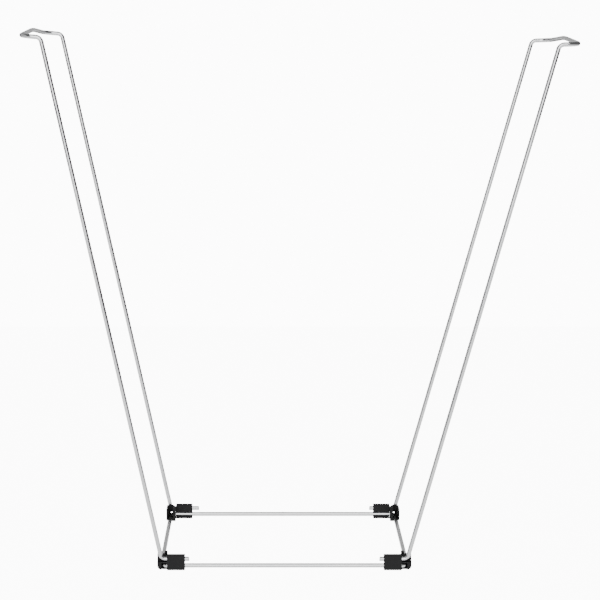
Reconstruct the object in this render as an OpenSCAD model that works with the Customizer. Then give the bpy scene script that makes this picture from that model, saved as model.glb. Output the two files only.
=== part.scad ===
// Laundry stand and drying rack of bent steel wire:
// a low rectangular base ring, two U-shaped side frames that lean outwards
// and end in a small loop at the top, and four moulded corner clips.
// Each clip is threaded on a foot of a side frame, swivels about it, and holds the
// ring's corner when it is closed.
// X runs along the length, Y from front to back, Z up. The floor is Z = 0.

/* [Wire] */
// Diameter of the steel wire
wire_d = 5.3; // [4:0.1:6]
// Clear height between the ring's wire and the frame's foot above it
wire_gap = 2.7; // [2.6:0.1:4]

/* [Base ring] */
// Distance between the axes of the two short cross rods
ring_length = 292; // [200:1:400]
// Distance between the axes of the two long rods, and of a frame's two legs
ring_depth = 230; // [160:1:320]
// Centreline radius of the ring's corners
ring_bend_r = 8; // [7.5:0.1:10]

/* [Side frames] */
// Length of a leg from the foot's axis to the top corner
leg_length = 628; // [400:1:800]
// Lean of the left frame from upright, in degrees
left_lean = 12.2; // [8:0.1:18]
// Lean of the right frame from upright, in degrees
right_lean = 15.4; // [8:0.1:18]
// Centreline radius of the bend between a foot and its leg
foot_bend_r = 6; // [5.5:0.1:7.5]
// Length of foot that shows past the clip
foot_tail = 5.3; // [3:0.1:12]
// The same for the back left foot, which is cut longer
back_left_tail = 9; // [3:0.1:12]
// Turn of the bend at the top of a leg, in degrees
top_turn = 73; // [60:0.5:74]
// Centreline radius of the bend at the top of a leg
top_bend_r = 7; // [6:0.5:10]
// Reach of the top loop, from the leg's corner to the crossbar's axis
arm_reach = 23; // [20:0.5:40]
// Centreline radius between an arm and the crossbar
loop_bend_r = 14; // [8:0.5:16]
// Upward slope of the bowed crossbar at its ends, in degrees
bar_bow = 2.6; // [1:0.1:5]
// Centreline radius of the bowed crossbar's crown
crown_r = 500; // [200:10:900]

/* [Corner clips] */
// Length of the clip's block along the foot
block_length = 21.3; // [15:0.1:30]
// Wall beside the foot's bore
side_wall = 2.2; // [1.6:0.1:3]
// Wall above the foot's bore
top_wall = 2.35; // [1.2:0.05:3]
// Floor under the ring's wire
floor_t = 2; // [1.2:0.1:2.5]
// Thickness of the arm's outer wall
outer_wall = 2.1; // [1.8:0.1:3.5]
// Thickness of the arm's inner wall
inner_wall = 3.7; // [1.8:0.1:4.5]
// Thickness of the low wall that shuts the channel's outboard end
end_wall = 2.1; // [1.2:0.1:2.5]
// Reach of the arm's outer wall along the cross rod
outer_reach = 25; // [21:0.5:32]
// Reach of the arm's inner wall along the cross rod
inner_reach = 18; // [15:0.5:20]
// Radius of the rounded edge under the arm
arm_round = 5; // [3:0.5:5]
// Radius of the block's long edges
block_round = 1.2; // [0.5:0.1:1.5]
// Rise of the arch behind the leg above the block
arch_rise = 0.9; // [0.3:0.1:2]
// Height of the slope under the arm's tip
tip_cut = 3.8; // [2:0.1:6]

/* [Fits] */
// Radial clearance of a foot in its clip
foot_play = 0.05; // [0.02:0.01:0.1]
// Clearance round the ring's wire in a clip
ring_play = 0.3; // [0.25:0.05:0.4]

/* [Hidden] */
$fn = 64;

wire_r = wire_d / 2;
ring_z = floor_t + ring_play + wire_r;
foot_drop = wire_d + wire_gap;
foot_z = ring_z + foot_drop;

// Corner clip, in its own frame: X along the foot from the cross rod's axis
// towards the rack's middle, Y inboard from the long rod's axis, Z up.
slot_half = wire_r + ring_play;
arm_x0 = -slot_half - outer_wall;
foot_tangent = foot_bend_r * tan((90 - min(left_lean, right_lean)) / 2);
block_x0 = max(slot_half + inner_wall, foot_tangent + ring_play);
block_x1 = block_x0 + block_length;
block_half = wire_r + foot_play + side_wall;
clip_top = foot_z + wire_r + foot_play + top_wall;
hub_r = foot_drop - slot_half;
rail_sweep_r = foot_drop + slot_half;
end_wall_top = foot_z - 0.8 * hub_r;
leg_ledge = 0.4 * wire_r;
saddle_lip = 0.5 * wire_r;
cut = 1;
wire_fn = 48;
bend_swell = 0.02;
bend_lap = 0.4;

// Farthest that the ring's corner bend reaches from the foot's axis, in the plane X = x
function bend_reach(x) = max([for (t = [0:10:180])
    let (rho = ring_bend_r - wire_r * cos(t), side = ring_bend_r - x)
    rho > side ? norm([ring_bend_r - sqrt(rho * rho - side * side),
                       foot_drop + wire_r * sin(t)]) : 0]);
corner_sweep_r = ring_play + max([for (i = [0:4])
    bend_reach(slot_half + (block_x0 - slot_half) * i / 4)]);

// Straight stretch of the crossbar between a loop's corner and the crown
bar_straight = (ring_depth / 2 - loop_bend_r * cos(bar_bow) - crown_r * sin(bar_bow)) / cos(bar_bow);

// How far a frame's crossbar stands outboard of the ring's cross rod, to the wire's side
function loop_out(lean) = leg_length * sin(lean)
    + arm_reach * sin(lean + top_turn) + wire_r;
// The ring's centre sits off the overall centre, because the two frames lean differently
ring_shift = (loop_out(left_lean) - loop_out(right_lean)) / 2;

// One run of wire: each step is [straight length, bend radius, bend angle, roll].
// It starts at the origin heading along X, and a bend turns towards the rolled Y axis.
// A bend is a hair fuller than the straights, whose ends run a little way inside it.
module wire_run(steps, start_lap = 0, i = 0) {
    if (i < len(steps)) {
        straight = steps[i][0];
        radius = steps[i][1];
        turn = steps[i][2];
        translate([-start_lap, 0, 0])
            rotate([0, 90, 0])
                cylinder(h = start_lap + straight + bend_lap, r = wire_r, $fn = wire_fn);
        translate([straight, 0, 0])
            rotate([steps[i][3], 0, 0]) {
                if (turn > 0)
                    translate([0, radius, 0])
                        rotate([0, 0, -90])
                            rotate_extrude(angle = turn, $fn = max($fn, 8 * 360 / turn))
                                translate([radius, 0]) circle(r = wire_r + bend_swell, $fn = wire_fn);
                translate([radius * sin(turn), radius * (1 - cos(turn)), 0])
                    rotate([0, 0, turn])
                        wire_run(steps, bend_lap, i + 1);
            }
    }
}

// Closed rectangle of wire: four equal corners, each followed by a straight rod
module base_ring() {
    color("silver")
        translate([ring_shift, 0, ring_z])
            for (half = [0, 180])
                rotate([0, 0, half])
                    translate([-ring_length / 2 + ring_bend_r, -ring_depth / 2, 0])
                        wire_run([[ring_length - 2 * ring_bend_r, ring_bend_r, 90, 0],
                                  [ring_depth - 2 * ring_bend_r, ring_bend_r, 90, 0]], bend_lap);
}

// Front half of a frame that leans towards +X, from the foot's free end to the crossbar's
// crown, which only one of the two halves carries
module half_frame(lean, tail, crown) {
    foot_turn = 90 - lean;
    foot_set = foot_bend_r * tan(foot_turn / 2);
    top_set = top_bend_r * tan(top_turn / 2);
    foot_length = block_x1 + tail;
    translate([ring_length / 2 - foot_length, -ring_depth / 2, foot_z])
        wire_run([[foot_length - foot_set, foot_bend_r, foot_turn, 90],
                  [leg_length - foot_set - top_set, top_bend_r, top_turn, 180],
                  [arm_reach - top_set - loop_bend_r, loop_bend_r, 90, 90 + bar_bow],
                  [bar_straight, crown_r, crown ? 2 * bar_bow : 0, -90]]);
}

module side_frame(lean, front_tail, back_tail) {
    color("silver") {
        half_frame(lean, front_tail, true);
        mirror([0, 1, 0]) half_frame(lean, back_tail, false);
    }
}

module left_frame() {
    translate([ring_shift, 0, 0]) mirror([1, 0, 0])
        side_frame(left_lean, foot_tail, back_left_tail);
}

module right_frame() {
    translate([ring_shift, 0, 0]) side_frame(right_lean, foot_tail, foot_tail);
}

// Carries a flat outline, drawn in Y and Z, along X from x0 to x1
module along_x(x0, x1) {
    translate([x0, 0, 0])
        rotate([90, 0, 90])
            linear_extrude(height = x1 - x0) children();
}

// Carries a flat outline, drawn in X and Z, along Y from y0 to y1
module along_y(y0, y1) {
    translate([0, y1, 0])
        rotate([90, 0, 0])
            linear_extrude(height = y1 - y0) children();
}

module foot_cylinder(r, x0, x1) {
    translate([x0, 0, foot_z]) rotate([0, 90, 0]) cylinder(r = r, h = x1 - x0);
}

// Rectangle with true round corners
module rounded_plate(low, high, r) {
    translate([low[0] + r, low[1]]) square([high[0] - low[0] - 2 * r, high[1] - low[1]]);
    translate([low[0], low[1] + r]) square([high[0] - low[0], high[1] - low[1] - 2 * r]);
    for (x = [low[0] + r, high[0] - r], y = [low[1] + r, high[1] - r])
        translate([x, y]) circle(r = r);
}

// Block on the foot: bored for the foot, and grooved from inboard for the long rod.
// The groove is an arc about the foot, so the rod leaves it as the clip swivels.
module clip_block() {
    difference() {
        along_x(block_x0, block_x1)
            rounded_plate([-block_half, 0], [block_half, clip_top], block_round);
        along_x(block_x0 - cut, block_x1 + cut) {
            translate([0, ring_z]) circle(r = slot_half);
            difference() {
                translate([0, foot_z]) circle(r = rail_sweep_r);
                translate([0, foot_z]) circle(r = hub_r);
                translate([-clip_top, 0]) square([clip_top, 2 * clip_top]);
                translate([-clip_top, foot_z]) square([2 * clip_top, clip_top]);
            }
        }
    }
}

// The arm's outline seen along the cross rod, with its lower outer edge rounded
module arm_outline() {
    translate([arm_x0 + arm_round, 0])
        square([block_x0 - arm_x0 - arm_round, clip_top]);
    translate([arm_x0, arm_round])
        square([block_x0 - arm_x0, clip_top - arm_round]);
    translate([arm_x0 + arm_round, arm_round]) circle(r = arm_round);
}

// Channel round the cross rod: open on top, with a longer wall on the outer side
module clip_arm() {
    difference() {
        along_y(0, outer_reach)
            difference() {
                arm_outline();
                translate([0, ring_z]) circle(r = slot_half);
                translate([-slot_half, ring_z]) square([2 * slot_half, clip_top]);
            }
        // the outer wall's tip slopes up, and the inner wall and the floor end sooner
        along_x(arm_x0 - cut, block_x0 + cut)
            polygon([[inner_reach, -cut], [inner_reach, 0], [outer_reach, tip_cut],
                     [outer_reach + cut, tip_cut], [outer_reach + cut, -cut]]);
        along_x(-slot_half, block_x0 + cut)
            translate([inner_reach, -cut]) square([outer_reach, clip_top + 2 * cut]);
        // room for the ring's corner and for its path as the clip swivels
        along_x(-slot_half, block_x0 + cut)
            intersection() {
                translate([0, foot_z]) circle(r = corner_sweep_r);
                translate([-cut, floor_t]) square([2 * clip_top, 2 * clip_top]);
            }
        // flat bottom where the ring's corner turns out of the slot
        along_x(0, slot_half)
            translate([-cut, floor_t]) square([cut + ring_bend_r + ring_play, ring_z]);
        // room for the leg beside the outer wall
        along_x(arm_x0 - cut, block_x0 + cut)
            translate([-cut, foot_z + leg_ledge]) square([cut + slot_half, clip_top]);
    }
}

// Low wall on the outboard side that shuts the channel's end, outside the ring's corner
module clip_end_wall() {
    difference() {
        along_y(-end_wall, slot_half - wire_r)
            intersection() {
                arm_outline();
                translate([arm_x0, 0]) square([-arm_x0, end_wall_top]);
            }
        translate([ring_bend_r, ring_bend_r, -cut])
            cylinder(r = ring_bend_r + slot_half, h = clip_top);
    }
}

// Saddle under the leg's bend and the arch behind the leg, which tie the arm to the block
module clip_saddle(lean) {
    foot_turn = 90 - lean;
    foot_set = foot_bend_r * tan(foot_turn / 2);
    arch_r = (block_x0 - arm_x0) / 2;
    arch_z = clip_top + arch_rise - arch_r;
    difference() {
        intersection() {
            union() {
                foot_cylinder(hub_r, arm_x0, block_x0);
                along_x(arm_x0, block_x0)
                    translate([slot_half, foot_z]) square([block_half - slot_half, clip_top]);
            }
            along_y(-hub_r, block_half) {
                translate([arm_x0, ring_z]) square([2 * arch_r, arch_z - ring_z]);
                translate([arm_x0 + arch_r, arch_z]) circle(r = arch_r);
            }
        }
        // the leg swings clear on the outboard side
        along_x(arm_x0 - cut, block_x0 + cut) {
            translate([-2 * hub_r, foot_z - slot_half])
                square([2 * hub_r + saddle_lip, 2 * clip_top]);
            translate([-cut, foot_z]) square([cut + slot_half, clip_top]);
        }
        foot_cylinder(wire_r + foot_play, 0, block_x0 + cut);
        // the saddle's top follows the underside of the bend
        translate([foot_set, 0, foot_z + foot_bend_r])
            rotate([90, 0, 0])
                rotate([0, 0, 180])
                    rotate_extrude(angle = 90)
                        translate([foot_bend_r, 0]) circle(r = slot_half);
    }
}

module corner_clip(lean) {
    color("#2b2b2b")
        difference() {
            union() {
                clip_block();
                clip_arm();
                clip_end_wall();
                clip_saddle(lean);
            }
            foot_cylinder(wire_r + foot_play, 0, block_x1 + cut);
        }
}

// Puts a clip on a corner: side_x is -1 on the left and 1 on the right,
// side_y is -1 in front and 1 at the back
module placed_clip(side_x, side_y, lean) {
    translate([ring_shift + side_x * ring_length / 2, side_y * ring_depth / 2, 0])
        mirror([side_x > 0 ? 1 : 0, 0, 0])
            mirror([0, side_y > 0 ? 1 : 0, 0])
                corner_clip(lean);
}

base_ring();
left_frame();
right_frame();
placed_clip(-1, -1, left_lean);  // clip_front_left
placed_clip(-1, 1, left_lean);  // clip_back_left
placed_clip(1, -1, right_lean);  // clip_front_right
placed_clip(1, 1, right_lean);  // clip_back_right
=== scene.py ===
# %% [markdown]
# # A clothes drying rack of bent wire
# The real rack is three bent wires and four moulded clips. A closed ring of wire lies just
# above the floor. Two U-shaped side frames lean outwards from it, and each ends at the top in
# a shallow loop with a bowed crossbar. A black clip on each corner holds a frame's foot over
# the ring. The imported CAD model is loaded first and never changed: it says where everything
# is, and the pieces made here are finer skins that ride on its bodies.

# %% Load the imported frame
import math
import bpy
import numpy as np
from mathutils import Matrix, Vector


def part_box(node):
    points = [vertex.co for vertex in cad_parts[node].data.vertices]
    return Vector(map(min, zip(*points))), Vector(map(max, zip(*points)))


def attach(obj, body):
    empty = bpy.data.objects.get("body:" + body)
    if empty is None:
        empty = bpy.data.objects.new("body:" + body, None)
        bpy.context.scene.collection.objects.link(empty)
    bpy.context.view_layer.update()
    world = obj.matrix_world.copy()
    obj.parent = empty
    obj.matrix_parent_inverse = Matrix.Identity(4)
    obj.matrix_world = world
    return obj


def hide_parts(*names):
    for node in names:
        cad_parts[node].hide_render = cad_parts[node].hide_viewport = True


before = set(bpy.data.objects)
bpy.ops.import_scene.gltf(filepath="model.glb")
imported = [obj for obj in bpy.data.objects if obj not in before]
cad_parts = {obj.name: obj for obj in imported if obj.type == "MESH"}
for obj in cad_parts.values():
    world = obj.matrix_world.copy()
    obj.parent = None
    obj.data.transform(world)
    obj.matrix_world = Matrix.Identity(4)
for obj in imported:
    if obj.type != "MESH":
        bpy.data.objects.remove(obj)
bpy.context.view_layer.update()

# %% [markdown]
# ## Units and three small helpers
# Every size below is written in millimetres, as a maker would say it, and turned to metres
# once, when a mesh is made. Colours are written as sRGB hex and turned to the linear values
# that Blender's shaders work in. One helper adds a shader node with its settings and links,
# and one starts a material with an empty node tree.

# %% Helpers
MM = 0.001


def linear(hex_colour):
    """sRGB hex to linear RGBA: v/12.92 below 0.04045, and ((v + 0.055)/1.055)^2.4 above."""
    parts = np.array([int(hex_colour[i:i + 2], 16) for i in (1, 3, 5)]) / 255
    low = parts / 12.92
    high = ((parts + 0.055) / 1.055) ** 2.4
    return (*np.where(parts <= 0.04045, low, high).tolist(), 1.0)


def add_node(tree, kind, inputs=None, **settings):
    """Adds one node. A socket given as an input is linked, and any other value is set."""
    node = tree.nodes.new(kind)
    for name, value in settings.items():
        setattr(node, name, value)
    for name, value in (inputs or {}).items():
        if isinstance(value, bpy.types.NodeSocket):
            tree.links.new(value, node.inputs[name])
        else:
            node.inputs[name].default_value = value
    return node


def empty_tree(block):
    """Turns on a material's or a world's nodes and clears them."""
    block.use_nodes = True
    block.node_tree.nodes.clear()
    return block.node_tree


print("mid grey is", round(linear("#808080")[0], 3), "in linear light")

# %% [markdown]
# ## Putting a grid into a mesh
# A piece here is an array of points and an array of four-cornered faces. Adding them with
# foreach_set hands Blender the whole array at once, which is far quicker than bmesh for the
# clips' fine skins. A cut wire's end is one flat many-sided face, which is passed apart.

# %% Mesh builder
def new_mesh(name, points_mm, quads, caps=()):
    """Makes a mesh: corners are the quads' and then the caps' point numbers, end to end."""
    corners = np.concatenate([quads.ravel(), *caps]).astype(np.int32)
    sides = np.array([4] * len(quads) + [len(cap) for cap in caps], np.int32)
    starts = np.concatenate([[0], np.cumsum(sides)[:-1]]).astype(np.int32)
    mesh = bpy.data.meshes.new(name)
    mesh.vertices.add(len(points_mm))
    mesh.vertices.foreach_set("co", (points_mm * MM).astype(np.float32).ravel())
    mesh.loops.add(len(corners))
    mesh.loops.foreach_set("vertex_index", corners)
    mesh.polygons.add(len(sides))
    mesh.polygons.foreach_set("loop_start", starts)
    mesh.update(calc_edges=True)
    mesh.validate()
    mesh.polygons.foreach_set("use_smooth", np.ones(len(sides), bool))
    return mesh


def open_edges(mesh):
    """Counts the edges that don't have exactly two faces. A closed skin has none."""
    edges = np.zeros(len(mesh.loops), np.int32)
    mesh.loops.foreach_get("edge_index", edges)
    return int((np.bincount(edges, minlength=len(mesh.edges)) != 2).sum())


def finish_piece(mesh, name, body, node):
    """Makes the object, lets it ride on its CAD body, and lets it stand for its CAD node."""
    piece = bpy.data.objects.new(name, mesh)
    bpy.context.scene.collection.objects.link(piece)
    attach(piece, body)
    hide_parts(node)
    low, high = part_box(node)
    points = np.zeros(len(mesh.vertices) * 3, np.float32)
    mesh.vertices.foreach_get("co", points)
    points = points.reshape(-1, 3)
    gap = max(np.abs(points.min(0) - low).max(), np.abs(points.max(0) - high).max())
    print(name, len(mesh.polygons), "faces,", open_edges(mesh), "open edges,",
          round(float(gap) * 1000, 2), "mm from its CAD box")
    return piece


# %% [markdown]
# ## Sizes
# These repeat the CAD source's named values. A leg's length and lean, and the bends' radii,
# set the frame's outline. The ring lies in the clips a little above the floor, and a frame's
# foot runs just above it.

# %% Sizes in millimetres and degrees
wire_r = 2.65
ring_length, ring_depth, ring_bend_r = 292.0, 230.0, 8.0
floor_t, ring_play, foot_play = 2.0, 0.3, 0.05
ring_z = floor_t + ring_play + wire_r
wire_gap = 2.7
foot_z = ring_z + 2 * wire_r + wire_gap
leg_length, left_lean, right_lean = 628.0, 12.2, 15.4
foot_bend_r, top_bend_r, top_turn = 6.0, 7.0, 73.0
arm_reach, loop_bend_r = 23.0, 14.0
bar_bow, crown_r = 2.6, 500.0
slot_half = wire_r + ring_play
outer_wall, inner_wall = 2.1, 3.7
block_x0 = slot_half + inner_wall
block_x1 = block_x0 + 21.3
foot_tail, back_left_tail = 5.3, 9.0


def loop_out(lean):
    """How far a crossbar stands outboard of its cross rod: leg and arm, each by its sine."""
    return (leg_length * math.sin(math.radians(lean))
            + arm_reach * math.sin(math.radians(lean + top_turn)) + wire_r)


ring_shift = (loop_out(left_lean) - loop_out(right_lean)) / 2
print("ring axis at", ring_z, "mm, foot axis at", foot_z, "mm, shift", round(ring_shift, 3))

# %% [markdown]
# ## Walking along a bent wire
# A wire-bending machine works from a short table: feed this far, roll the wire by this
# much, bend it round a pin of this radius through this angle. The same table drives this
# model. A curve object with a bevel could make the tube too, but its rings twist where the
# bends change plane. Here the section's own turn is kept apart from the machine's roll, so
# the rings stay in line from end to end.

# %% The bending table becomes a row of section frames
feed_row = 12.0
bend_rows = 18
tight_pin = 12.0
same_place = 1e-6


def about_x(angle):
    """Matrix that turns by angle about X."""
    c, s = math.cos(angle), math.sin(angle)
    return np.array([[1, 0, 0], [0, c, -s], [0, s, c]])


def about_z(angles):
    """Stack of matrices that turn by each angle about Z."""
    c, s, o = np.cos(angles), np.sin(angles), np.zeros_like(angles)
    return np.array([[c, -s, o], [s, c, o], [o, o, o + 1]]).transpose(2, 0, 1)


def walk_wire(start, steps):
    """From start, heading along X. Each step is (feed, pin radius, bend, roll), in mm and
    degrees. A feed adds its length times the heading. A bend of angle t round a pin of
    radius R adds R sin t along the heading and R (1 - cos t) towards the rolled Y axis.
    Returns the centres, their frames, how far round, and how much of a bend each row is."""
    here, pose, rolled, gone = np.array(start, float), np.eye(3), 0.0, 0.0
    rows = []
    for feed, pin, bend, roll in steps:
        s = np.linspace(0, feed, max(3, int(feed / feed_row) + 1))
        rows.append((here + s[:, None] * pose[:, 0], np.tile(pose, (len(s), 1, 1)),
                     gone + s, np.full(len(s), rolled), np.zeros(len(s))))
        here = here + feed * pose[:, 0]
        gone += feed
        pose = pose @ about_x(math.radians(roll))
        rolled += math.radians(roll)
        if bend:
            t = np.linspace(0, math.radians(bend), max(bend_rows, int(bend)))
            shift = np.stack([pin * np.sin(t), pin * (1 - np.cos(t)), 0 * t], 1)
            poses = pose @ about_z(t)
            swell = np.sin(np.pi * t / t[-1]) * min(1.0, tight_pin / pin)
            rows.append((here + shift @ pose.T, poses, gone + pin * t,
                         np.full(len(t), rolled), swell))
            here, pose = rows[-1][0][-1], poses[-1]
            gone += pin * t[-1]
    centre, poses, run, turned, swell = (np.concatenate(part) for part in zip(*rows))
    keep = np.concatenate([[True], np.diff(run) > same_place])
    return centre[keep], poses[keep], run[keep], turned[keep], swell[keep]


# %% [markdown]
# ## The section carried along
# Round wire doesn't stay round in a tight bend: it flattens a little across the bend's plane
# and widens out of it. The section is a circle of 32 points with that small oval added, so
# highlights pinch and spread at the corners as they do on real wire.

# %% Tube skin
wire_sides = 32
bend_oval = 0.03


def tube_points(walk, radius):
    """Point = centre + r cos(a) (1 - e) Y + r sin(a) (1 + e/2) Z, where a is the angle round
    the wire less the machine's roll, and e is the oval, greatest half way round a bend."""
    centre, poses, _, turned, swell = walk
    round_by = np.linspace(0, 2 * np.pi, wire_sides, endpoint=False)
    a = round_by[None, :] - turned[:, None]
    e = bend_oval * swell[:, None]
    across = radius[:, None] * np.cos(a) * (1 - e)
    upright = radius[:, None] * np.sin(a) * (1 + e / 2)
    return (centre[:, None] + across[..., None] * poses[:, None, :, 1]
            + upright[..., None] * poses[:, None, :, 2])


def tube_quads(rows, closed):
    """Joins each row's points to the next row's, and the last row to the first if closed."""
    first = np.arange(rows if closed else rows - 1)[:, None]
    then = (first + 1) % rows
    side = np.arange(wire_sides)[None, :]
    on = (side + 1) % wire_sides
    corners = [first * wire_sides + side, first * wire_sides + on,
               then * wire_sides + on, then * wire_sides + side]
    return np.stack(np.broadcast_arrays(*corners), -1).reshape(-1, 4)


def mark_run(mesh, run):
    """Keeps the place along and round the wire, in mm, for the drawing lines' pattern."""
    angle = np.linspace(0, 2 * np.pi, wire_sides, endpoint=False)[None, :]
    place = np.stack(np.broadcast_arrays(run[:, None], wire_r * np.cos(angle),
                                         wire_r * np.sin(angle)), -1)
    layer = mesh.attributes.new("wire_run", "FLOAT_VECTOR", "POINT")
    layer.data.foreach_set("vector", place.astype(np.float32).ravel())


# %% [markdown]
# ## Base ring
# The ring is one wire whose ends meet. Somewhere on it there has to be a butt weld, and the
# middle of the back rod is the usual place, out of sight. The weld is ground nearly flush,
# so only a swelling of about a tenth of a millimetre is left.

# %% Base ring
weld_swell = 0.12
weld_width = 1.4
weld_zone, weld_marks = 6.0, 13
# the weld's middle is taken this far past the last row of points
seam_gap = 0.25
half_length = ring_length / 2 - ring_bend_r
side_feed = ring_depth - 2 * ring_bend_r
long_feed = ring_length - 2 * ring_bend_r
weld_rows = np.linspace(0, weld_zone, weld_marks)[1:]
weld_steps = [(step, 0, 0, 0) for step in np.diff(weld_rows, prepend=0)]
corner_steps = [(half_length - weld_zone, ring_bend_r, 90, 0), (side_feed, ring_bend_r, 90, 0),
                (long_feed, ring_bend_r, 90, 0), (side_feed, ring_bend_r, 90, 0),
                (half_length - weld_zone, 0, 0, 0)]
ring_walk = walk_wire((0, 0, 0), weld_steps + corner_steps + weld_steps)
# the last row falls on the first, so it is left out
ring_walk = tuple(part[:-1] for part in ring_walk)
ring_round = ring_walk[2][-1] + seam_gap
from_weld = np.minimum(ring_walk[2], ring_round - ring_walk[2])
ring_radius = wire_r + weld_swell * np.exp(-((from_weld / weld_width) ** 2))
ring_points = tube_points(ring_walk, ring_radius)
# the walk went round to the left of its start, so half a turn about Z puts the start behind
ring_points = ring_points * [-1, -1, 1] + [ring_shift, ring_depth / 2, ring_z]
ring_mesh = new_mesh("base_ring_wire", ring_points.reshape(-1, 3),
                     tube_quads(len(ring_radius), True))
mark_run(ring_mesh, ring_walk[2])
ring_piece = finish_piece(ring_mesh, "base_ring_wire", "rack", "base_ring")

# %% [markdown]
# ## Side frames
# A frame is the same in front and behind, but for the back left foot's longer end, so a
# half is walked: foot, leg, top corner, arm and half the crossbar, up to its crown. The other
# half is its mirror image, joined at the crown's row of points, which lies on the mirror
# plane. The two free ends were sheared, so each has a slightly slanted face with a small
# broken edge.

# %% Side frames
end_bevel = 0.45
end_slant, slant_fades = 0.25, 3.0
first_row = 0.01
crease = math.radians(30)


def half_frame(lean, tail):
    """Walks from a foot's free end to the middle of the crossbar's crown, and returns the
    points and the place of each row along the wire. The end's small bevel takes away radius,
    and its slant moves the first rows along the foot by their height."""
    foot_turn = 90 - lean
    foot_set = foot_bend_r * math.tan(math.radians(foot_turn / 2))
    top_set = top_bend_r * math.tan(math.radians(top_turn / 2))
    foot_length = block_x1 + tail
    bow = math.radians(bar_bow)
    bar_straight = (ring_depth / 2 - loop_bend_r * math.cos(bow)
                    - crown_r * math.sin(bow)) / math.cos(bow)
    start = (ring_length / 2 - foot_length, -ring_depth / 2, foot_z)
    walk = walk_wire(start, [
        (first_row, 0, 0, 0),
        (end_bevel, 0, 0, 0),
        (foot_length - foot_set - end_bevel - first_row, foot_bend_r, foot_turn, 90),
        (leg_length - foot_set - top_set, top_bend_r, top_turn, 180),
        (arm_reach - top_set - loop_bend_r, loop_bend_r, 90, 90 + bar_bow),
        (bar_straight, crown_r, bar_bow, -90),
    ])
    run = walk[2]
    half = tube_points(walk, wire_r - end_bevel * np.clip(1 - run / end_bevel, 0, 1))
    near_end = np.clip(1 - run / slant_fades, 0, 1)[:, None]
    half[:, :, 0] += ((half[:, :, 2] - foot_z) / wire_r + 1) * end_slant * near_end
    print("crown is", round(float(np.abs(half[-1, :, 1]).max()), 4), "mm off the middle")
    half[-1, :, 1] = 0
    return half, run


def side_frame(name, node, lean, hand, back_tail):
    """Both halves end to end, with a cap on each foot. hand is 1 for the frame that leans
    towards +X and -1 for the other."""
    front, front_run = half_frame(lean, foot_tail)
    back, back_run = half_frame(lean, back_tail)
    points = np.concatenate([front, (back * [1, -1, 1])[::-1][1:]])
    run = np.concatenate([front_run, (front_run[-1] + back_run[-1] - back_run)[::-1][1:]])
    points = points * [hand, 1, 1] + [ring_shift, 0, 0]
    quads = tube_quads(len(points), False)
    first = np.arange(wire_sides)
    caps = [first[::-1], first + (len(points) - 1) * wire_sides]
    if hand < 0:
        quads, caps = quads[:, ::-1], [cap[::-1] for cap in caps]
    mesh = new_mesh(name, points.reshape(-1, 3), quads, caps)
    ends = np.zeros(len(mesh.polygons), np.int32)
    ends[-2:] = 1
    mesh.polygons.foreach_set("material_index", ends)
    mesh.set_sharp_from_angle(angle=crease)
    mark_run(mesh, run)
    return finish_piece(mesh, name, "rack", node)


left_piece = side_frame("left_frame_wire", "left_frame", left_lean, -1, back_left_tail)
right_piece = side_frame("right_frame_wire", "right_frame", right_lean, 1, foot_tail)

# %% [markdown]
# ## Corner clips as a distance field
# A clip is a moulded block with a channel beside it, and its shape is many flats, slots and
# round cuts that meet in softened edges. Boolean modifiers leave knife edges that a Bevel
# then has trouble with. A distance field avoids both: a formula says for every point of
# space how far it is from the plastic, below zero inside. Two shapes are joined by the
# smaller distance and one cuts another by the larger, and blending the two near their
# crossing rounds the edge as a real mould's small radii do.

# %% Clip sizes in millimetres, and the blending
side_wall, top_wall = 2.2, 2.35
outer_reach, inner_reach = 25.0, 18.0
arm_round, block_round, arch_rise, tip_cut = 5.0, 1.2, 0.9, 3.8
foot_drop = foot_z - ring_z
arm_x0 = -slot_half - outer_wall
block_half = wire_r + foot_play + side_wall
clip_top = foot_z + wire_r + foot_play + top_wall
hub_r = foot_drop - slot_half
rail_sweep_r = foot_drop + slot_half
bore_r = wire_r + 0.1
leg_ledge, saddle_lip = 0.4 * wire_r, 0.5 * wire_r
edge_soft, fillet_soft, cut_soft, bore_soft = 0.6, 0.35, 0.4, 0.3
sweep_angles, sweep_planes = 37, 9


def cut_by(a, b, soft=edge_soft):
    """The larger of two distances, plus h*h/(4 soft) where they are within soft: h is what
    is left of soft after their difference. It rounds a convex edge."""
    h = np.maximum(soft - np.abs(a - b), 0)
    return np.maximum(a, b) + h * h / (4 * soft)


def join(a, b, soft=fillet_soft):
    """The smaller of two distances, with the corner between them filled in the same way."""
    return -cut_by(-a, -b, soft)


def within(u, low, high):
    """Distance outside the slab from low to high."""
    return np.maximum(low - u, u - high)


def corner_sweep():
    """How far the ring's corner bend reaches from the foot's axis: its wire's points at
    angle t, in planes across the foot, by Pythagoras, with the ring's play added."""
    t = np.linspace(0, np.pi, sweep_angles)[None, :]
    x = np.linspace(slot_half, block_x0, sweep_planes)[:, None]
    rho, side = ring_bend_r - wire_r * np.cos(t), ring_bend_r - x
    along = ring_bend_r - np.sqrt(np.maximum(rho ** 2 - side ** 2, 0))
    reach = np.hypot(along, foot_drop + wire_r * np.sin(t))
    return float(np.where(rho > side, reach, 0).max()) + ring_play


corner_sweep_r = corner_sweep()
print("clip is", round(block_x1 - arm_x0, 2), "by", round(outer_reach + block_half, 2), "by",
      round(clip_top, 2), "mm, and the corner sweeps", round(corner_sweep_r, 2), "mm")

# %% [markdown]
# ### The block on the foot
# The block is a rounded bar with the foot's bore through it. Its groove for the long rod is
# open inboard and curves about the foot, because the rod leaves the groove that way when the
# clip swivels. A faint raised line along its middle shows where the mould's halves met.

# %% Block
seam_high, seam_half = 0.07, 0.35


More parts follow.
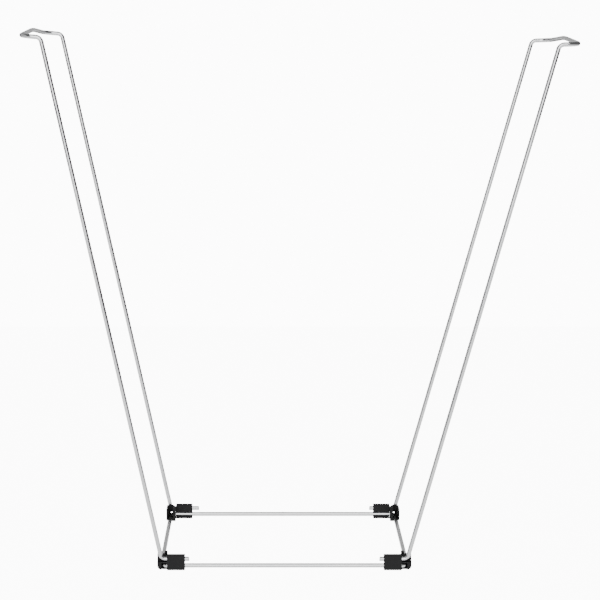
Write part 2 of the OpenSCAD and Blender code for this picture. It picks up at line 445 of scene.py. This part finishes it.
def block_field(x, y, z):
    """Rounded rectangle in Y and Z, ended flat in X, less a round groove and less the ring
    between two circles about the foot, in the quarter below and inboard of it. The seam
    raises the surface by a bell curve of y."""
    seam = seam_high * np.exp(-((y / seam_half) ** 2))
    out_y = np.abs(y) - (block_half - block_round)
    out_z = np.abs(z - clip_top / 2) - (clip_top / 2 - block_round)
    bar = (np.hypot(np.maximum(out_y, 0), np.maximum(out_z, 0))
           + np.minimum(np.maximum(out_y, out_z), 0) - block_round - seam)
    solid = cut_by(bar, within(x, block_x0, block_x1))
    groove = np.hypot(y, z - ring_z) - slot_half
    about_foot = np.hypot(y, z - foot_z)
    swept = np.maximum(np.maximum(about_foot - rail_sweep_r, hub_r - about_foot),
                       np.maximum(-y, z - foot_z))
    return cut_by(solid, -np.minimum(groove, swept), cut_soft)


# %% [markdown]
# ### The channel on the cross rod
# The arm is a channel, open on top, that the cross rod lies in. Its outer wall is longer and
# its lower edge slopes up to the tip. The ring's corner needs room to swing out past the
# block, so the inner wall starts only beyond that swing. A low wall shuts the channel's
# outboard end beside the ring's corner.

# %% Channel arm
end_wall = 2.1
end_wall_top = foot_z - 0.8 * hub_r
past_end = 1.0


def arm_outline(x, z):
    """Distance outside the arm's rounded lower outer edge, seen along the cross rod."""
    low_x, low_z = arm_x0 + arm_round - x, arm_round - z
    return (np.hypot(np.maximum(low_x, 0), np.maximum(low_z, 0))
            + np.minimum(np.maximum(low_x, low_z), 0) - arm_round)


def end_wall_field(x, y, z):
    """Slab across the channel's outboard end, as low as the hub and outside the corner."""
    wall = cut_by(np.maximum(arm_outline(x, z), x), z - end_wall_top)
    return cut_by(wall, within(y, -end_wall, slot_half - wire_r))


def arm_field(x, y, z):
    """Bar with one rounded lower edge, less a round-bottomed slot, less the slope under the
    tip, the shorter inner side, the corner's swing and the leg's room."""
    bar = cut_by(np.maximum(arm_outline(x, z), x - block_x0), z - clip_top)
    bar = cut_by(bar, within(y, 0, outer_reach))
    slot = np.hypot(x, np.minimum(z - ring_z, 0)) - slot_half
    rise, along = tip_cut, outer_reach - inner_reach
    slope = ((y - inner_reach) * rise - z * along) / math.hypot(rise, along)
    short = np.maximum(-slot_half - x, inner_reach - y)
    swing = np.maximum(np.hypot(y, z - foot_z) - corner_sweep_r, floor_t - z)
    swing = np.maximum(swing, -slot_half - x)
    flat = np.maximum(within(x, 0, slot_half), within(y, -past_end, ring_bend_r + ring_play))
    flat = np.maximum(flat, within(z, floor_t, floor_t + ring_z))
    leg_room = np.maximum(y - slot_half, foot_z + leg_ledge - z)
    arm = cut_by(bar, -slot, cut_soft)
    arm = cut_by(arm, slope)
    arm = cut_by(arm, -np.minimum(short, np.minimum(swing, flat)), cut_soft)
    return cut_by(arm, -leg_room, cut_soft)


# %% [markdown]
# ### The saddle and the arch
# Under the leg's bend a round saddle ties the arm to the block, and behind the leg a plate
# with an arched top does the same. The saddle is hollowed by a ring-shaped cut that follows
# the underside of the bend.

# %% Saddle and arch
def saddle_field(x, y, z, lean):
    """Bar of the hub's radius and a plate behind it, cut to an arched outline, less the
    leg's way out, the foot, and a tube of the slot's radius bent as the wire is."""
    foot_set = foot_bend_r * math.tan(math.radians((90 - lean) / 2))
    arch_r = (block_x0 - arm_x0) / 2
    arch_x, arch_z = arm_x0 + arch_r, clip_top + arch_rise - arch_r
    hub = np.hypot(y, z - foot_z) - hub_r
    plate = np.maximum(within(y, slot_half, block_half), foot_z - z)
    arch = np.hypot(x - arch_x, np.maximum(z - arch_z, 0)) - arch_r
    arch = np.maximum(arch, ring_z - z)
    solid = cut_by(np.minimum(hub, plate), arch)
    solid = cut_by(solid, within(y, -hub_r, block_half))
    way_out = np.minimum(np.maximum(y - saddle_lip, foot_z - slot_half - z),
                         np.maximum(y - slot_half, foot_z - z))
    to_bend = np.hypot(np.hypot(x - foot_set, z - foot_z - foot_bend_r) - foot_bend_r, y)
    bend = np.maximum(to_bend - slot_half, np.maximum(x - foot_set, z - foot_z - foot_bend_r))
    return cut_by(solid, -np.minimum(way_out, bend), cut_soft)


def clip_field(x, y, z, lean):
    """Block, arm, end wall and saddle joined with small fillets, then bored for the foot."""
    whole = join(block_field(x, y, z), arm_field(x, y, z))
    whole = join(whole, end_wall_field(x, y, z))
    whole = join(whole, saddle_field(x, y, z, lean))
    bore = np.maximum(np.hypot(y, z - foot_z) - bore_r, -x)
    return cut_by(whole, -bore, bore_soft)


# %% [markdown]
# ### From the field to a skin
# Surface nets turn the field into faces. The space is cut into small cubes. Each cube that
# the surface passes through gets one point, at the mean of the places where the field
# crosses zero on its edges, and each cube edge that crosses the surface gets one
# four-cornered face between the four cubes round it. Flats stay flat, and all faces are even.

# %% Surface nets
cell = 0.25


def unturn(columns, axis):
    """Puts columns that have the given axis first back into the order X, Y, Z."""
    turned = np.empty_like(columns)
    turned[:, [axis] + [k for k in range(3) if k != axis]] = columns
    return turned


def net_skin(field, origin):
    """Returns points in mm, faces, and each point's cube. Every step is whole arrays: three
    edge directions, and four cubes round each."""
    cubes = tuple(n - 1 for n in field.shape)
    total, count = np.zeros(cubes + (3,)), np.zeros(cubes)
    crossings = []
    for axis in range(3):
        near = np.moveaxis(field, axis, 0)[:-1]
        far = np.moveaxis(field, axis, 0)[1:]
        crossed = (near < 0) != (far < 0)
        share = np.where(crossed, near / np.where(crossed, near - far, 1), 0)
        spots = np.argwhere(crossed)
        crossings.append((spots, (near < 0)[tuple(spots.T)]))
        where = spots.astype(float)
        where[:, 0] += share[tuple(spots.T)]
        place = unturn(where, axis)
        for back in ([0, 0, 0], [0, 0, 1], [0, 1, 0], [0, 1, 1]):
            cube = unturn(spots - back, axis)
            good = ((cube >= 0) & (cube < cubes)).all(1)
            np.add.at(total, tuple(cube[good].T), place[good])
            np.add.at(count, tuple(cube[good].T), 1)
    used = count > 0
    number = np.full(cubes, -1)
    number[used] = np.arange(int(used.sum()))
    points = total[used] / count[used][:, None] * cell + origin
    faces = []
    for axis, (spots, starts_inside) in enumerate(crossings):
        round_edge = ([0, 1, 1], [0, 0, 1], [0, 0, 0], [0, 1, 0])
        ring = [unturn(spots - back, axis) for back in round_edge]
        quad = np.stack([number[tuple(cube.T)] for cube in ring], 1)
        flip = starts_inside if axis == 1 else ~starts_inside
        quad[flip] = quad[flip][:, ::-1]
        faces.append(quad)
    return points, np.concatenate(faces), np.argwhere(used)


# %% [markdown]
# ### Four clips
# The left and right frames lean differently, so their saddles differ by a hair and the field
# is worked out once for each. Front and back clips are mirror images. A mirror turns a skin
# inside out, so each mirrored skin has its faces turned round. Where the skin bends
# outwards, at the edges, that bend is stored: the plastic is painted lighter there, a
# painted highlight along the edges, and is made a little less rough.

# %% Clip skins
margin = 0.9
cell_offset = 0.37
# bend past which a point counts as under the painted edge highlight, for the printed share
highlight_seen = 0.2


def lattice(low, high):
    """Values a cell apart, from a margin below low to a margin above high, moved by part of
    a cell so that none falls on a flat."""
    return np.arange(low - margin, high + margin, cell) + cell * cell_offset


grid_x = lattice(arm_x0, block_x1)[:, None, None]
grid_y = lattice(-hub_r, outer_reach)[None, :, None]
grid_z = lattice(0, clip_top + arch_rise)[None, None, :]
grid_low = np.array([grid_x[0, 0, 0], grid_y[0, 0, 0], grid_z[0, 0, 0]])


def clip_skin(lean):
    """The skin, with each point's outward bend: the field's sum of second differences. The
    plastic paints this bend lighter as a painted edge highlight.
    """
    field = clip_field(grid_x, grid_y, grid_z, lean)
    points, faces, cubes = net_skin(field, grid_low)
    bend = np.zeros_like(field)
    inner = (slice(1, -1),) * 3
    for axis in range(3):
        bend[inner] += (np.roll(field, 1, axis) + np.roll(field, -1, axis) - 2 * field)[inner]
    # outward bend from 0 to 1: the plastic paints these edges lighter, a painted highlight
    highlit = np.clip(bend[tuple(cubes.T)] / cell, 0, 1)
    print("skin", len(points), "points,", len(faces), "faces, worn share",
          round(float((highlit > highlight_seen).mean()), 3))
    return points, faces, highlit


def clip_piece(name, node, skin, side_x, side_y):
    """Places a skin on its corner: side_x is -1 on the left, and side_y is -1 in front."""
    points, faces, highlit = skin
    points = points * [-side_x, -side_y, 1]
    points = points + [ring_shift + side_x * ring_length / 2, side_y * ring_depth / 2, 0]
    if side_x * side_y < 0:
        faces = faces[:, ::-1]
    mesh = new_mesh(name, points, faces)
    # the outward bend, which the plastic paints lighter as a painted edge highlight and makes
    # less rough
    layer = mesh.attributes.new("edge_highlight", "FLOAT", "POINT")
    layer.data.foreach_set("value", highlit.astype(np.float32))
    return finish_piece(mesh, name, name.replace("_clip", ""), node)


left_skin = clip_skin(left_lean)
right_skin = clip_skin(right_lean)
clip_pieces = [
    clip_piece("front_left_clip", "clip_front_left", left_skin, -1, -1),
    clip_piece("back_left_clip", "clip_back_left", left_skin, -1, 1),
    clip_piece("front_right_clip", "clip_front_right", right_skin, 1, -1),
    clip_piece("back_right_clip", "clip_back_right", right_skin, 1, 1),
]

# %% [markdown]
# ## Chrome-plated steel wire
# The wire is mild steel, drawn through dies, bent, and then plated with nickel and a thin
# layer of chromium. Plating is bright and a little bluish, and mirrors the room in thin
# lines along the wire. The die leaves faint lines that run with the wire, which stretch the
# highlights lengthwise, and handling leaves soft, slightly duller patches some centimetres
# long. The lines follow the wire round its bends, so they read the place along the wire.

# %% Chrome
draw_line, draw_length = 0.35, 60.0
patch_size = 45.0
shear_step = (1.0, 0.4, 3.0)


def chrome_material():
    """Bright metal: noise stretched along the wire for its lines, and wide noise for haze."""
    material = bpy.data.materials.new("chrome_plated_steel_wire")
    tree = empty_tree(material)
    run = add_node(tree, "ShaderNodeAttribute", attribute_name="wire_run")
    stretch = add_node(tree, "ShaderNodeMapping", {
        "Vector": run.outputs["Vector"],
        "Scale": (1 / draw_length, 1 / draw_line, 1 / draw_line)})
    lines = add_node(tree, "ShaderNodeTexNoise", {
        "Vector": stretch.outputs["Vector"], "Scale": 1.0, "Detail": 3.0, "Roughness": 0.6})
    place = add_node(tree, "ShaderNodeTexCoord")
    haze = add_node(tree, "ShaderNodeTexNoise", {
        "Vector": place.outputs["Object"], "Scale": 1 / (patch_size * MM), "Detail": 2.0})
    rough = add_node(tree, "ShaderNodeMapRange", {
        "Value": haze.outputs["Fac"], "From Min": 0.3, "From Max": 0.7,
        "To Min": 0.14, "To Max": 0.2})
    tint = add_node(tree, "ShaderNodeMix", {
        "Factor": haze.outputs["Fac"], "A": linear("#d9dbde"), "B": linear("#e6e6e5")},
        data_type="RGBA")
    bump = add_node(tree, "ShaderNodeBump", {
        "Height": lines.outputs["Fac"], "Strength": 0.12, "Distance": 0.02 * MM})
    metal = add_node(tree, "ShaderNodeBsdfPrincipled", {
        "Base Color": tint.outputs["Result"], "Metallic": 1.0,
        "Roughness": rough.outputs["Result"], "Normal": bump.outputs["Normal"]})
    add_node(tree, "ShaderNodeOutputMaterial", {"Surface": metal.outputs["BSDF"]})
    return material


def sheared_material():
    """Bare steel of the cut ends: grey, dull, with coarse streaks from the shear."""
    material = bpy.data.materials.new("sheared_mild_steel_end")
    tree = empty_tree(material)
    place = add_node(tree, "ShaderNodeTexCoord")
    stretch = add_node(tree, "ShaderNodeMapping", {
        "Vector": place.outputs["Object"],
        "Scale": tuple(1 / (step * MM) for step in shear_step)})
    streaks = add_node(tree, "ShaderNodeTexNoise", {
        "Vector": stretch.outputs["Vector"], "Scale": 1.0, "Detail": 2.0})
    tone = add_node(tree, "ShaderNodeMix", {
        "Factor": streaks.outputs["Fac"], "A": linear("#6f7174"), "B": linear("#a9abad")},
        data_type="RGBA")
    bump = add_node(tree, "ShaderNodeBump", {
        "Height": streaks.outputs["Fac"], "Strength": 0.4, "Distance": 0.1 * MM})
    metal = add_node(tree, "ShaderNodeBsdfPrincipled", {
        "Base Color": tone.outputs["Result"], "Metallic": 1.0, "Roughness": 0.42,
        "Normal": bump.outputs["Normal"]})
    add_node(tree, "ShaderNodeOutputMaterial", {"Surface": metal.outputs["BSDF"]})
    return material


chrome, sheared = chrome_material(), sheared_material()
wire_pieces = (ring_piece, left_piece, right_piece)
for piece in wire_pieces:
    piece.data.materials.append(chrome)
    piece.data.materials.append(sheared)
print("chrome on", len(wire_pieces), "wires")

# %% [markdown]
# ## Black moulded plastic
# The clips are injection-moulded polypropylene, coloured through with carbon black. The
# mould was spark-eroded to a fine even grain, which breaks the sheen up, so the eye sees a
# soft dark surface. Along the outward edges the colour is painted lighter, a painted
# highlight, and the roughness is lower. Plastic that flowed in the mould also varies a little
# in shine over centimetres.

# %% Plastic
grain_size, flow_size = 0.35, 9.0
# how far the outward edges are painted lighter towards #2c2c2e as a painted highlight, and how
# much less rough they get
highlight_peak, edge_gloss = 0.5, -0.25


def plastic_material():
    """Dark dielectric: fine grain as bump, wide noise in the shine, and edges painted lighter,
    a painted highlight, with less roughness there.
    """
    material = bpy.data.materials.new("moulded_black_polypropylene")
    tree = empty_tree(material)
    place = add_node(tree, "ShaderNodeTexCoord")
    grain = add_node(tree, "ShaderNodeTexNoise", {
        "Vector": place.outputs["Object"], "Scale": 1 / (grain_size * MM), "Detail": 1.0})
    flow = add_node(tree, "ShaderNodeTexNoise", {
        "Vector": place.outputs["Object"], "Scale": 1 / (flow_size * MM), "Detail": 3.0})
    wear = add_node(tree, "ShaderNodeAttribute", attribute_name="edge_highlight")
    body = add_node(tree, "ShaderNodeMix", {
        "Factor": flow.outputs["Fac"], "A": linear("#141415"), "B": linear("#1d1d1e")},
        data_type="RGBA")
    # how much lighter each edge is painted: a painted highlight along the outward edges
    highlight_weight = add_node(tree, "ShaderNodeMath", {0: wear.outputs["Fac"], 1: highlight_peak},
                      operation="MULTIPLY")
    # edges painted lighter towards #2c2c2e: a painted highlight, not the plastic's own colour
    tone = add_node(tree, "ShaderNodeMix", {
        "Factor": highlight_weight.outputs["Value"], "A": body.outputs["Result"],
        "B": linear("#2c2c2e")}, data_type="RGBA")
    shine = add_node(tree, "ShaderNodeMapRange", {
        "Value": flow.outputs["Fac"], "From Min": 0.3, "From Max": 0.7,
        "To Min": 0.46, "To Max": 0.56})
    rough = add_node(tree, "ShaderNodeMath", {
        0: highlight_weight.outputs["Value"], 1: edge_gloss, 2: shine.outputs["Result"]},
        operation="MULTIPLY_ADD")
    bump = add_node(tree, "ShaderNodeBump", {
        "Height": grain.outputs["Fac"], "Strength": 0.35, "Distance": 0.05 * MM})
    plastic = add_node(tree, "ShaderNodeBsdfPrincipled", {
        "Base Color": tone.outputs["Result"], "Roughness": rough.outputs["Value"],
        "IOR": 1.49, "Specular IOR Level": 0.2, "Normal": bump.outputs["Normal"]})
    add_node(tree, "ShaderNodeOutputMaterial", {"Surface": plastic.outputs["BSDF"]})
    return material


plastic = plastic_material()
for piece in clip_pieces:
    piece.data.materials.append(plastic)
print("plastic on", len(clip_pieces), "clips")

# %% [markdown]
# ## Floor and room
# Chrome shows the room more than itself, so the room is what has to be right. A white table
# lies under the rack and runs well out in front of it. It and the room look white to the
# eye, but the room is only a dark grey to what the chrome mirrors, so that each wire has a
# bright middle and a darker side. The floor's shadow stays faint and soft.

# %% Floor and world
seen_white = 12.0
floor_glow = 1.0
room_glow = 0.14
floor_lit = 1.0
floor_side, floor_front, floor_back = 1.9, -3.2, 1.6
floor_gap = 0.0004


def stage_floor():
    """A flat rectangle a hair under the clips, white, that gives off a soft glow."""
    corners = np.array([[-floor_side, floor_front, 0], [floor_side, floor_front, 0],
                        [floor_side, floor_back, 0], [-floor_side, floor_back, 0]])
    mesh = new_mesh("floor", (corners - [0, 0, floor_gap]) / MM, np.array([[0, 1, 2, 3]]))
    floor = bpy.data.objects.new("floor", mesh)
    bpy.context.scene.collection.objects.link(floor)
    material = bpy.data.materials.new("white_table")
    tree = empty_tree(material)
    ray = add_node(tree, "ShaderNodeLightPath")
    glow = add_node(tree, "ShaderNodeMath", {
        0: ray.outputs["Is Camera Ray"], 1: seen_white - floor_lit - floor_glow, 2: floor_glow},
        operation="MULTIPLY_ADD")
    light = add_node(tree, "ShaderNodeEmission", {"Strength": glow.outputs["Value"]})
    matt = add_node(tree, "ShaderNodeBsdfDiffuse", {"Color": linear("#f2f2f2")})
    both = add_node(tree, "ShaderNodeAddShader", {0: light.outputs["Emission"],
                                                  1: matt.outputs["BSDF"]})
    add_node(tree, "ShaderNodeOutputMaterial", {"Surface": both.outputs["Shader"]})
    mesh.materials.append(material)


def pale_room():
    """The world: white where it is looked at, and a dark grey in reflections."""
    world = bpy.data.worlds.new("pale_room")
    tree = empty_tree(world)
    ray = add_node(tree, "ShaderNodeLightPath")
    strength = add_node(tree, "ShaderNodeMath", {
        0: ray.outputs["Is Camera Ray"], 1: seen_white - room_glow, 2: room_glow},
        operation="MULTIPLY_ADD")
    sky = add_node(tree, "ShaderNodeBackground", {"Color": linear("#ffffff"),
                                                  "Strength": strength.outputs["Value"]})
    add_node(tree, "ShaderNodeOutputWorld", {"Surface": sky.outputs["Background"]})
    bpy.context.scene.world = world


stage_floor()
pale_room()
print("floor reaches", floor_front, "to", floor_back, "m")

# %% [markdown]
# ## Lights
# Two large soft boxes do the lighting. One stands in front, behind the camera and a little
# to the left, and gives each wire its bright middle line. One hangs in front and overhead,
# for the clips' tops and the crossbars. Two faint ones on the left and behind keep the
# wires' edges from going black, and the right is left dark, so each wire has one dark side.
# An area light's power is pi times its area times its brightness to the eye.

# %% Soft boxes
front_glow, key_glow, left_glow, back_glow = 3.4, 2.2, 0.45, 0.4


def soft_box(name, width, height, glow, place, aim):
    """A rectangle of light at place, facing aim, hidden from the camera itself."""
    light = bpy.data.lights.new(name, "AREA")
    light.shape = "RECTANGLE"
    light.size, light.size_y = width, height
    light.energy = glow * math.pi * width * height
    lamp = bpy.data.objects.new(name, light)
    lamp.location = place
    lamp.rotation_euler = aim
    lamp.visible_camera = False
    bpy.context.scene.collection.objects.link(lamp)


soft_box("front_box", 2.3, 2.2, front_glow, (-0.35, -3.1, 1.3), (math.radians(90), 0, 0))
soft_box("key_box", 2.0, 1.2, key_glow, (0, -1.5, 2.1), (math.radians(36), 0, 0))
soft_box("left_box", 3.0, 2.6, left_glow, (-2.4, 0, 1.4),
         (math.radians(90), 0, math.radians(-90)))
soft_box("back_box", 3.4, 2.6, back_glow, (0, 2.6, 1.4), (math.radians(-90), 0, 0))

# %% [markdown]
# ## Camera
# A long lens from just above the rack's height, tipped down a little, keeps the wires
# nearly parallel. A small sideways shift frames the rack without turning the camera.

# %% Camera
lens_mm, sensor_mm = 114.4, 36.0
shift_right, tip_down = 0.0557, 8.9
camera_place = (-0.0382, -2.305, 0.6671)
lens = bpy.data.cameras.new("camera")
lens.lens, lens.sensor_width = lens_mm, sensor_mm
lens.shift_x = shift_right
camera = bpy.data.objects.new("camera", lens)
camera.location = camera_place
camera.rotation_euler = (math.radians(90 - tip_down), 0, 0)
bpy.context.scene.collection.objects.link(camera)
bpy.context.scene.camera = camera
print("camera", [round(v, 3) for v in camera.location], "m, lens", lens_mm, "mm")
